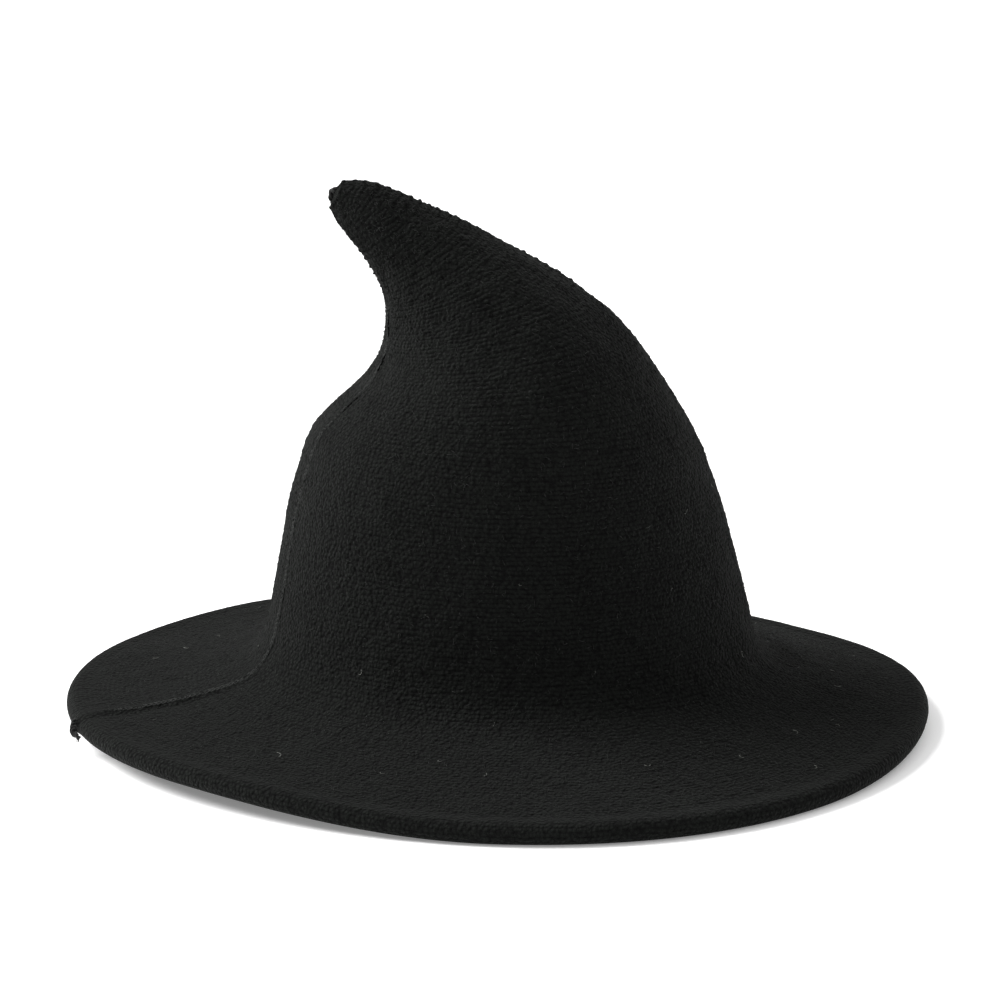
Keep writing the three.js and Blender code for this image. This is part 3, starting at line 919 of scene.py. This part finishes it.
class HAT_OT_sweatband(bpy.types.Operator):
    """Sews the ribbon round the inside of the crown, with its stitches and the blank size label"""

    bl_idname = "hat.sweatband"
    bl_label = "Sweatband"

    def execute(self, context):
        trim = context.scene.hat_trim
        band = finish_piece(ribbon_band(), grosgrain(list(trim.ribbon)), "ribbon", ROOT, "sweatband")
        finish_piece(running_stitches(), sewing_thread(trim), "sewing_thread", ROOT, "sweatband_thread")
        label = finish_piece(size_label(), woven_tape(list(trim.label)), "label_tape", ROOT, "size_label")
        tacks = finish_piece(label_tacks(), sewing_thread(trim), "sewing_thread", ROOT)
        return {"FINISHED"}


def ribbon_band():
    """The grosgrain ribbon, with a rib at every second column and a thicker edge."""
    across = np.array([0, 0.03, 0.06, 0.12, 0.3, 0.5, 0.7, 0.88, 0.94, 0.97, 1])
    rings = BAND_LOWER + (BAND_UPPER - BAND_LOWER) * np.concatenate([across, across[::-1], across[:1]])
    depths = np.concatenate([np.full(len(across), BAND_FACE), np.full(len(across), BAND_BACK), [BAND_FACE]])
    angles = SEAM + np.linspace(0, 2 * math.pi, 2 * RIBS + 1)
    edge = np.concatenate([np.zeros(len(across)), [0.1, 0.25, 0.1] + [0] * 5 + [0.1, 0.25, 0.1], [0]])
    rib = 0.14 * (np.arange(len(angles)) % 2)
    inside = (depths == BAND_BACK)[:, None]
    height = -depths[:, None] - inside * (rib + edge[:, None])
    points, _ = place_on_fabric(rings[:, None], angles[None, :], height)
    turns = np.broadcast_to((angles - SEAM) / (2 * math.pi) * RIBS, (len(rings) - 1, len(angles)))
    rims = (0, len(across) - 1, len(across), len(rings) - 2)
    return rolled("ribbon_sweatband", points, turns, rings * 30, rims)


def running_stitches():
    """A line of running stitches just above the ribbon's lower edge."""
    count = 126
    angles = SEAM + (np.arange(count) + 0.5) / count * 2 * math.pi
    places = place_on_fabric(ring_at_height(53.6), angles, -BAND_BACK - 0.1)
    route = ((-1.6, 0, -0.35), (-1.1, 0, 0.15), (0, 0, 0.35), (1.1, 0, 0.15), (1.6, 0, -0.35))
    return stitched("sweatband_stitches", route, 0.28, places)


def label_place(x, y, height):
    """A place over the ribbon at the back: x round the hat, y up from the label's middle, height over it."""
    ring = ring_at_height(69.4) + (BAND_UPPER - BAND_LOWER) * y / 28
    return place_on_fabric(ring, math.pi + x / 85, -BAND_BACK - 0.35 - height)


def size_label():
    """The blank label, which stands off the ribbon at its free lower edge."""
    x = np.linspace(-LABEL_WIDTH / 2, LABEL_WIDTH / 2, 31)[None, :]
    up = np.linspace(-LABEL_HEIGHT / 2, LABEL_HEIGHT / 2, 25)
    y = np.concatenate([up, up[::-1], up[:1]])[:, None]
    face = np.concatenate([np.zeros(len(up)), np.full(len(up), LABEL_THICKNESS), [0]])[:, None]
    free = np.clip(0.5 - y / LABEL_HEIGHT, 0, 1) ** 2
    points, _ = label_place(x, y, face + free * (0.9 + 0.35 * np.sin(x * 0.45 + 0.8)))
    u = np.broadcast_to(x / 2, (points.shape[0] - 1, points.shape[1]))
    return rolled("blank_size_label", points, u, y[:, 0] / 2, (0, len(up) - 1, len(up), len(y) - 2))


def label_tacks():
    """Short stitches that hold the label's upper edge."""
    x = np.linspace(-LABEL_WIDTH / 2 + 1, LABEL_WIDTH / 2 - 1, 8)
    route = ((-0.8, 0, -0.2), (-0.5, 0, 0.15), (0.5, 0, 0.15), (0.8, 0, -0.2))
    return stitched("label_tacks", route, 0.2, label_place(x, LABEL_HEIGHT / 2 - 1.4, LABEL_THICKNESS))


def together(name, shapes, place=Matrix.Identity(4)):
    """One piece from several bmeshes in millimetres, set down by a matrix in millimetres."""
    mesh = bpy.data.meshes.new(name)
    bm = bmesh.new()
    for shape in shapes:
        shape.to_mesh(mesh)
        shape.free()
        bm.from_mesh(mesh)
    bmesh.ops.transform(bm, matrix=Matrix.Scale(MM, 4) @ place, verts=bm.verts)
    bm.to_mesh(mesh)
    bm.free()
    mesh.polygons.foreach_set("use_smooth", [True] * len(mesh.polygons))
    return shown(name, mesh)


class HAT_OT_closing_yarn(bpy.types.Operator):
    """Draws the tip closed with yarn, and knots the yarn's other end where the seam meets the hem"""

    bl_idname = "hat.closing_yarn"
    bl_label = "Closing yarn"

    def execute(self, context):
        wool = context.scene.hat_wool
        material = yarn_wool("closing_yarn", list(wool.shaded_hollows), list(wool.tufts))
        tip, back = JOINTS["tip_straighten"]["child"], JOINTS["brim_back_turn_up"]["child"]
        finish_piece(tip_gather(), material, "closing_yarn", tip, "tip_gather")
        finish_piece(yarn_tail(), material, "closing_yarn", back, "yarn_tail")
        return {"FINISHED"}


def tip_gather():
    """Loops of yarn that run in from the last stitches to a small knot in the middle of the tip's end."""
    loops = []
    for i in range(9):
        spread = 2.3 + 1.3 * scatter(i, 2)
        high = 0.55 + 0.7 * scatter(i, 4)
        turn = Matrix.Rotation(2 * math.pi * (i + 0.35 * scatter(i, 8)) / 9, 3, "Z")
        route = ((0.1, 0.2, 0.5), (0.9, 0.5, high + 0.35), (spread * 0.7, 0.3, high), (spread, -0.3, 0.1),
                 (spread + 0.3, -0.7, -0.8))
        loops.append(tube([turn @ Vector(p) for p in route], (0.5, 0.6, 0.65, 0.6, 0.45), 8))
    knot = [(0.75 * math.cos(a), 0.75 * math.sin(a), 1.0 + 0.09 * a) for a in np.linspace(0, 8, 22)]
    loops.append(tube(knot, [0.45] * len(knot), 8))
    end = Vector(on_fabric(float(TIP_END), 0.0))
    facing = Vector(outward(np.array(float(TIP_END)), np.array(0.0)))
    turn = Vector((0, 0, 1)).rotation_difference(facing).to_matrix().to_4x4()
    return together("tip_gather_yarn", loops, Matrix.Translation(end) @ turn)


def yarn_tail():
    """The yarn's other end: two plies twisted together, one loose knot, and an end that has come undone."""
    route = ((-0.4, 0.6, 7.6), (-0.1, 1.7, 6.2), (0.7, 2.6, 5), (1.9, 2.4, 3.5), (3.1, 1.8, 2.6))
    middle = spline([hem_side(*p) for p in route])
    steps = np.linspace(0, 4, 41)
    line = middle(steps)
    plies = []
    for ply in range(2):
        turn = steps * 3.4 + ply * math.pi
        swing = np.stack([0.45 * np.cos(turn), 0.2 * np.sin(turn), 0.45 * np.sin(turn)], -1)
        plies.append(tube(line + swing, np.interp(steps, (0, 3.6, 4), (0.7, 0.7, 0.45)), 7))
    turns = np.linspace(0, 4 * math.pi, 34)
    knot = middle(2.2 + turns / (4 * math.pi) * 0.7)
    knot = knot + np.stack([1.0 * np.cos(turns), 0.5 * np.sin(turns), 1.2 * np.sin(turns)], -1)
    plies.append(tube(knot, [0.65] * len(turns), 7))
    for i in range(7):
        away = Vector((1.8 * scatter(i, 1) - 1.6, -2.4 * scatter(i, 2), -1.8 * scatter(i, 3)))
        root = Vector(line[-1 - i % 3])
        fibre = (root, root + away * 0.5 + Vector((0, 0, 0.3)), root + away)
        plies.append(tube(fibre, (0.2, 0.16, 0.08), 5))
    return together("yarn_tail_knot", plies)


def hem_side(degrees, outside, height):
    """A point beside the hem where the seam meets it: degrees past the seam, distance outside, height."""
    angle = SEAM + math.radians(degrees)
    x = (BRIM_LENGTH + outside) * math.cos(angle)
    y = (BRIM_DEPTH + outside) * math.sin(angle) * float(skew(angle))
    return x, y, float(edge_lift(angle)) + height


# ---------------------------------------------------------------------------
# Operators: loose fibres


def spread_over(random, count, lower, upper, angles):
    """Rings and angles spread evenly over the fabric's area."""
    rings = np.linspace(lower, upper, 300)
    girth = ring_ends(np.minimum(rings, LAST))[:, 4]
    area = running(girth[1:] * np.diff(course_at(rings)))
    ring = np.interp(random.uniform(0, area[-1], count), area, rings)
    return ring, random.uniform(*angles, count)


def leaning(random, axes, lean):
    """Axes turned to a random side and leant over from the fabric, by lean radians at most."""
    count = len(axes)
    turn, tilt = random.uniform(0, 2 * math.pi, count), random.uniform(0.2, 1, count) * lean
    side = np.stack([np.cos(turn), np.sin(turn), np.zeros(count)], -1)
    up = np.array([0, 0, 1.0])
    pole = side * np.sin(tilt)[:, None] + up * np.cos(tilt)[:, None]
    flat = side * np.cos(tilt)[:, None] - up * np.sin(tilt)[:, None]
    local = np.stack([flat, np.cross(pole, flat), pole], -1)
    return axes @ local


QUARTER = math.pi / 2
# Parts of the fabric that loose fibres lie on: lower and upper ring, angles, and what they move with.
ZONES = (
    ("brim_front", 0.02, FOOT, (-QUARTER, QUARTER), "front_bend"),
    ("brim_back", 0.02, FOOT, (QUARTER, 3 * QUARTER), "back_bend"),
    ("crown", FOOT, WALL_TOP, (0, 4 * QUARTER), ROOT),
    ("crown_top", WALL_TOP, HORN_START, (0, 4 * QUARTER), "neck_bend"),
    ("horn", HORN_START, LAST + 0.6, (0, 4 * QUARTER), "tip_bend"),
)


class HAT_OT_nap(bpy.types.Operator):
    """Raises a sparse nap of loose fibres on each piece of the knitting"""

    bl_idname = "hat.nap"
    bl_label = "Nap"

    def execute(self, context):
        wool = context.scene.hat_wool
        material = yarn_wool("loose_wool_fibre", list(wool.tufts), linear("#292b29"))
        # A fibre is drawn 0.08 mm thick, between two and three times its real size.
        route = ((0, 0, -0.2), (0.05, 0, 0.35), (0.2, 0, 0.7), (0.5, 0, 0.95))
        radii = (0.04, 0.035, 0.03, 0.01)
        for i, (name, lower, upper, angles, place) in enumerate(ZONES):
            random = np.random.RandomState(40 + i)
            count = wool.nap if name != "horn" else wool.nap // 3
            ring, angle = spread_over(random, count, lower, upper, angles)
            origins, axes = place_on_fabric(ring, angle, 0.2)
            sizes = random.uniform(0.5, 1.3, (count, 1)) * np.ones(3) * wool.nap_length / MM
            nap = stamped("nap_" + name, tube(route, radii, 3), origins, leaning(random, axes, 1.25), sizes)
            finish_piece(nap, material, "fulled_wool", place)
        return {"FINISHED"}


class HAT_OT_lint(bpy.types.Operator):
    """Scatters paler lint on the brim and crown, as black wool picks up"""

    bl_idname = "hat.lint"
    bl_label = "Lint"

    def execute(self, context):
        material = yarn_wool("pale_lint", linear("#3a3c38"), linear("#7c7e79"))
        a = np.linspace(0, 2.6, 10)
        curl = np.stack([1.5 * np.cos(a) + 0.5 * a - 1.4, 1.3 * np.sin(a), 0.12 * np.sin(2 * a) + 0.1], -1)
        for i, (name, lower, upper, angles, place) in enumerate(ZONES[:3]):
            random = np.random.RandomState(7 + i)
            count = context.scene.hat_wool.lint
            ring, angle = spread_over(random, count, lower + 0.1, upper, angles)
            origins, axes = place_on_fabric(ring, angle, 0.45)
            sizes = random.uniform(0.4, 1.5, (count, 1)) * np.array([1.2, 0.8, 1.0])
            sizes[:, 1] *= random.choice((0.25, 1.0), count)
            fibre = tube(curl, [0.1] * len(a), 4)
            lint = stamped("lint_" + name, fibre, origins, leaning(random, axes, 0.3), sizes)
            finish_piece(lint, material, "fulled_wool", place)
        return {"FINISHED"}


# ---------------------------------------------------------------------------
# Operator: the stage


FLOOR_SIZE = 60  # metres from the middle, so that its edge is past the horizon
ROOM_LIGHT = 0.45
# Each lamp: the side it shines from, its strength, and how many degrees wide it looks from the hat.
LAMPS = (("key", (-2.0, 0.35, 1.8), 5.4, 38), ("top", (0.5, -0.3, 2.0), 0.7, 80))


class HAT_OT_stage(bpy.types.Operator):
    """Sets the pale floor, the soft light and the camera"""

    bl_idname = "hat.stage"
    bl_label = "Stage"

    def execute(self, context):
        studio = context.scene.hat_studio
        aim = Vector((0.9 * MM, 0, studio.aim))
        back = Vector((0, -math.cos(studio.elevation), math.sin(studio.elevation)))
        camera = bpy.data.objects.new("camera", bpy.data.cameras.new("camera"))
        context.scene.collection.objects.link(camera)
        camera.data.lens = studio.lens
        camera.data.sensor_width = 36
        camera.location = aim + back * studio.distance
        camera.rotation_mode = "QUATERNION"
        camera.rotation_quaternion = back.to_track_quat("Z", "Y")
        context.scene.camera = camera
        floor()
        surround(context.scene)
        for lamp in LAMPS:
            soft_light(*lamp)
        context.scene.view_settings.view_transform = "Standard"
        return {"FINISHED"}


def floor():
    bm = bmesh.new()
    bmesh.ops.create_grid(bm, x_segments=1, y_segments=1, size=FLOOR_SIZE)
    mesh = bpy.data.meshes.new("floor")
    bm.to_mesh(mesh)
    bm.free()
    obj = shown("floor", mesh)
    mesh.materials.append(paper())


def surround(scene):
    """The walls of a white room, dim against the lamps."""
    scene.world = bpy.data.worlds.new("white_room")
    scene.world.use_nodes = True
    walls = scene.world.node_tree.nodes["Background"]
    walls.inputs["Color"].default_value = (1, 1, 1, 1)
    walls.inputs["Strength"].default_value = ROOM_LIGHT


def soft_light(name, place, strength, spread):
    """An even light from the side of place, as soft as a source that looks spread degrees wide."""
    light = bpy.data.lights.new(name, "SUN")
    light.energy = strength
    light.angle = math.radians(spread)
    obj = bpy.data.objects.new(name, light)
    obj.rotation_mode = "QUATERNION"
    obj.rotation_quaternion = Vector(place).to_track_quat("Z", "Y")
    bpy.context.scene.collection.objects.link(obj)


# ---------------------------------------------------------------------------
# The add-on


class HAT_PT_panel(bpy.types.Panel):
    """The hat's settings and the steps that build it"""

    bl_idname = "HAT_PT_panel"
    bl_label = "Witch hat"
    bl_space_type = "VIEW_3D"
    bl_region_type = "UI"
    bl_category = "Hat"

    def draw(self, context):
        scene = context.scene
        for settings in (scene.hat_wool, scene.hat_trim, scene.hat_studio):
            for name in settings.__annotations__:
                self.layout.prop(settings, name)
        for operator in OPERATORS:
            self.layout.operator(operator.bl_idname)


OPERATORS = (HAT_OT_stage, HAT_OT_brim, HAT_OT_crown, HAT_OT_horn, HAT_OT_seam, HAT_OT_hem_stitches,
             HAT_OT_sweatband, HAT_OT_closing_yarn, HAT_OT_nap, HAT_OT_lint)
CLASSES = (HatWoolSettings, HatTrimSettings, HatStudioSettings, *OPERATORS, HAT_PT_panel)


def register():
    for cls in CLASSES:
        bpy.utils.register_class(cls)
    bpy.types.Scene.hat_wool = PointerProperty(type=HatWoolSettings)
    bpy.types.Scene.hat_trim = PointerProperty(type=HatTrimSettings)
    bpy.types.Scene.hat_studio = PointerProperty(type=HatStudioSettings)


def unregister():
    del bpy.types.Scene.hat_wool
    del bpy.types.Scene.hat_trim
    del bpy.types.Scene.hat_studio
    for cls in reversed(CLASSES):
        bpy.utils.unregister_class(cls)


def main():
    register()
    for operator in OPERATORS:
        getattr(bpy.ops.hat, operator.bl_idname.split(".")[1])()


if __name__ == "__main__":
    main()
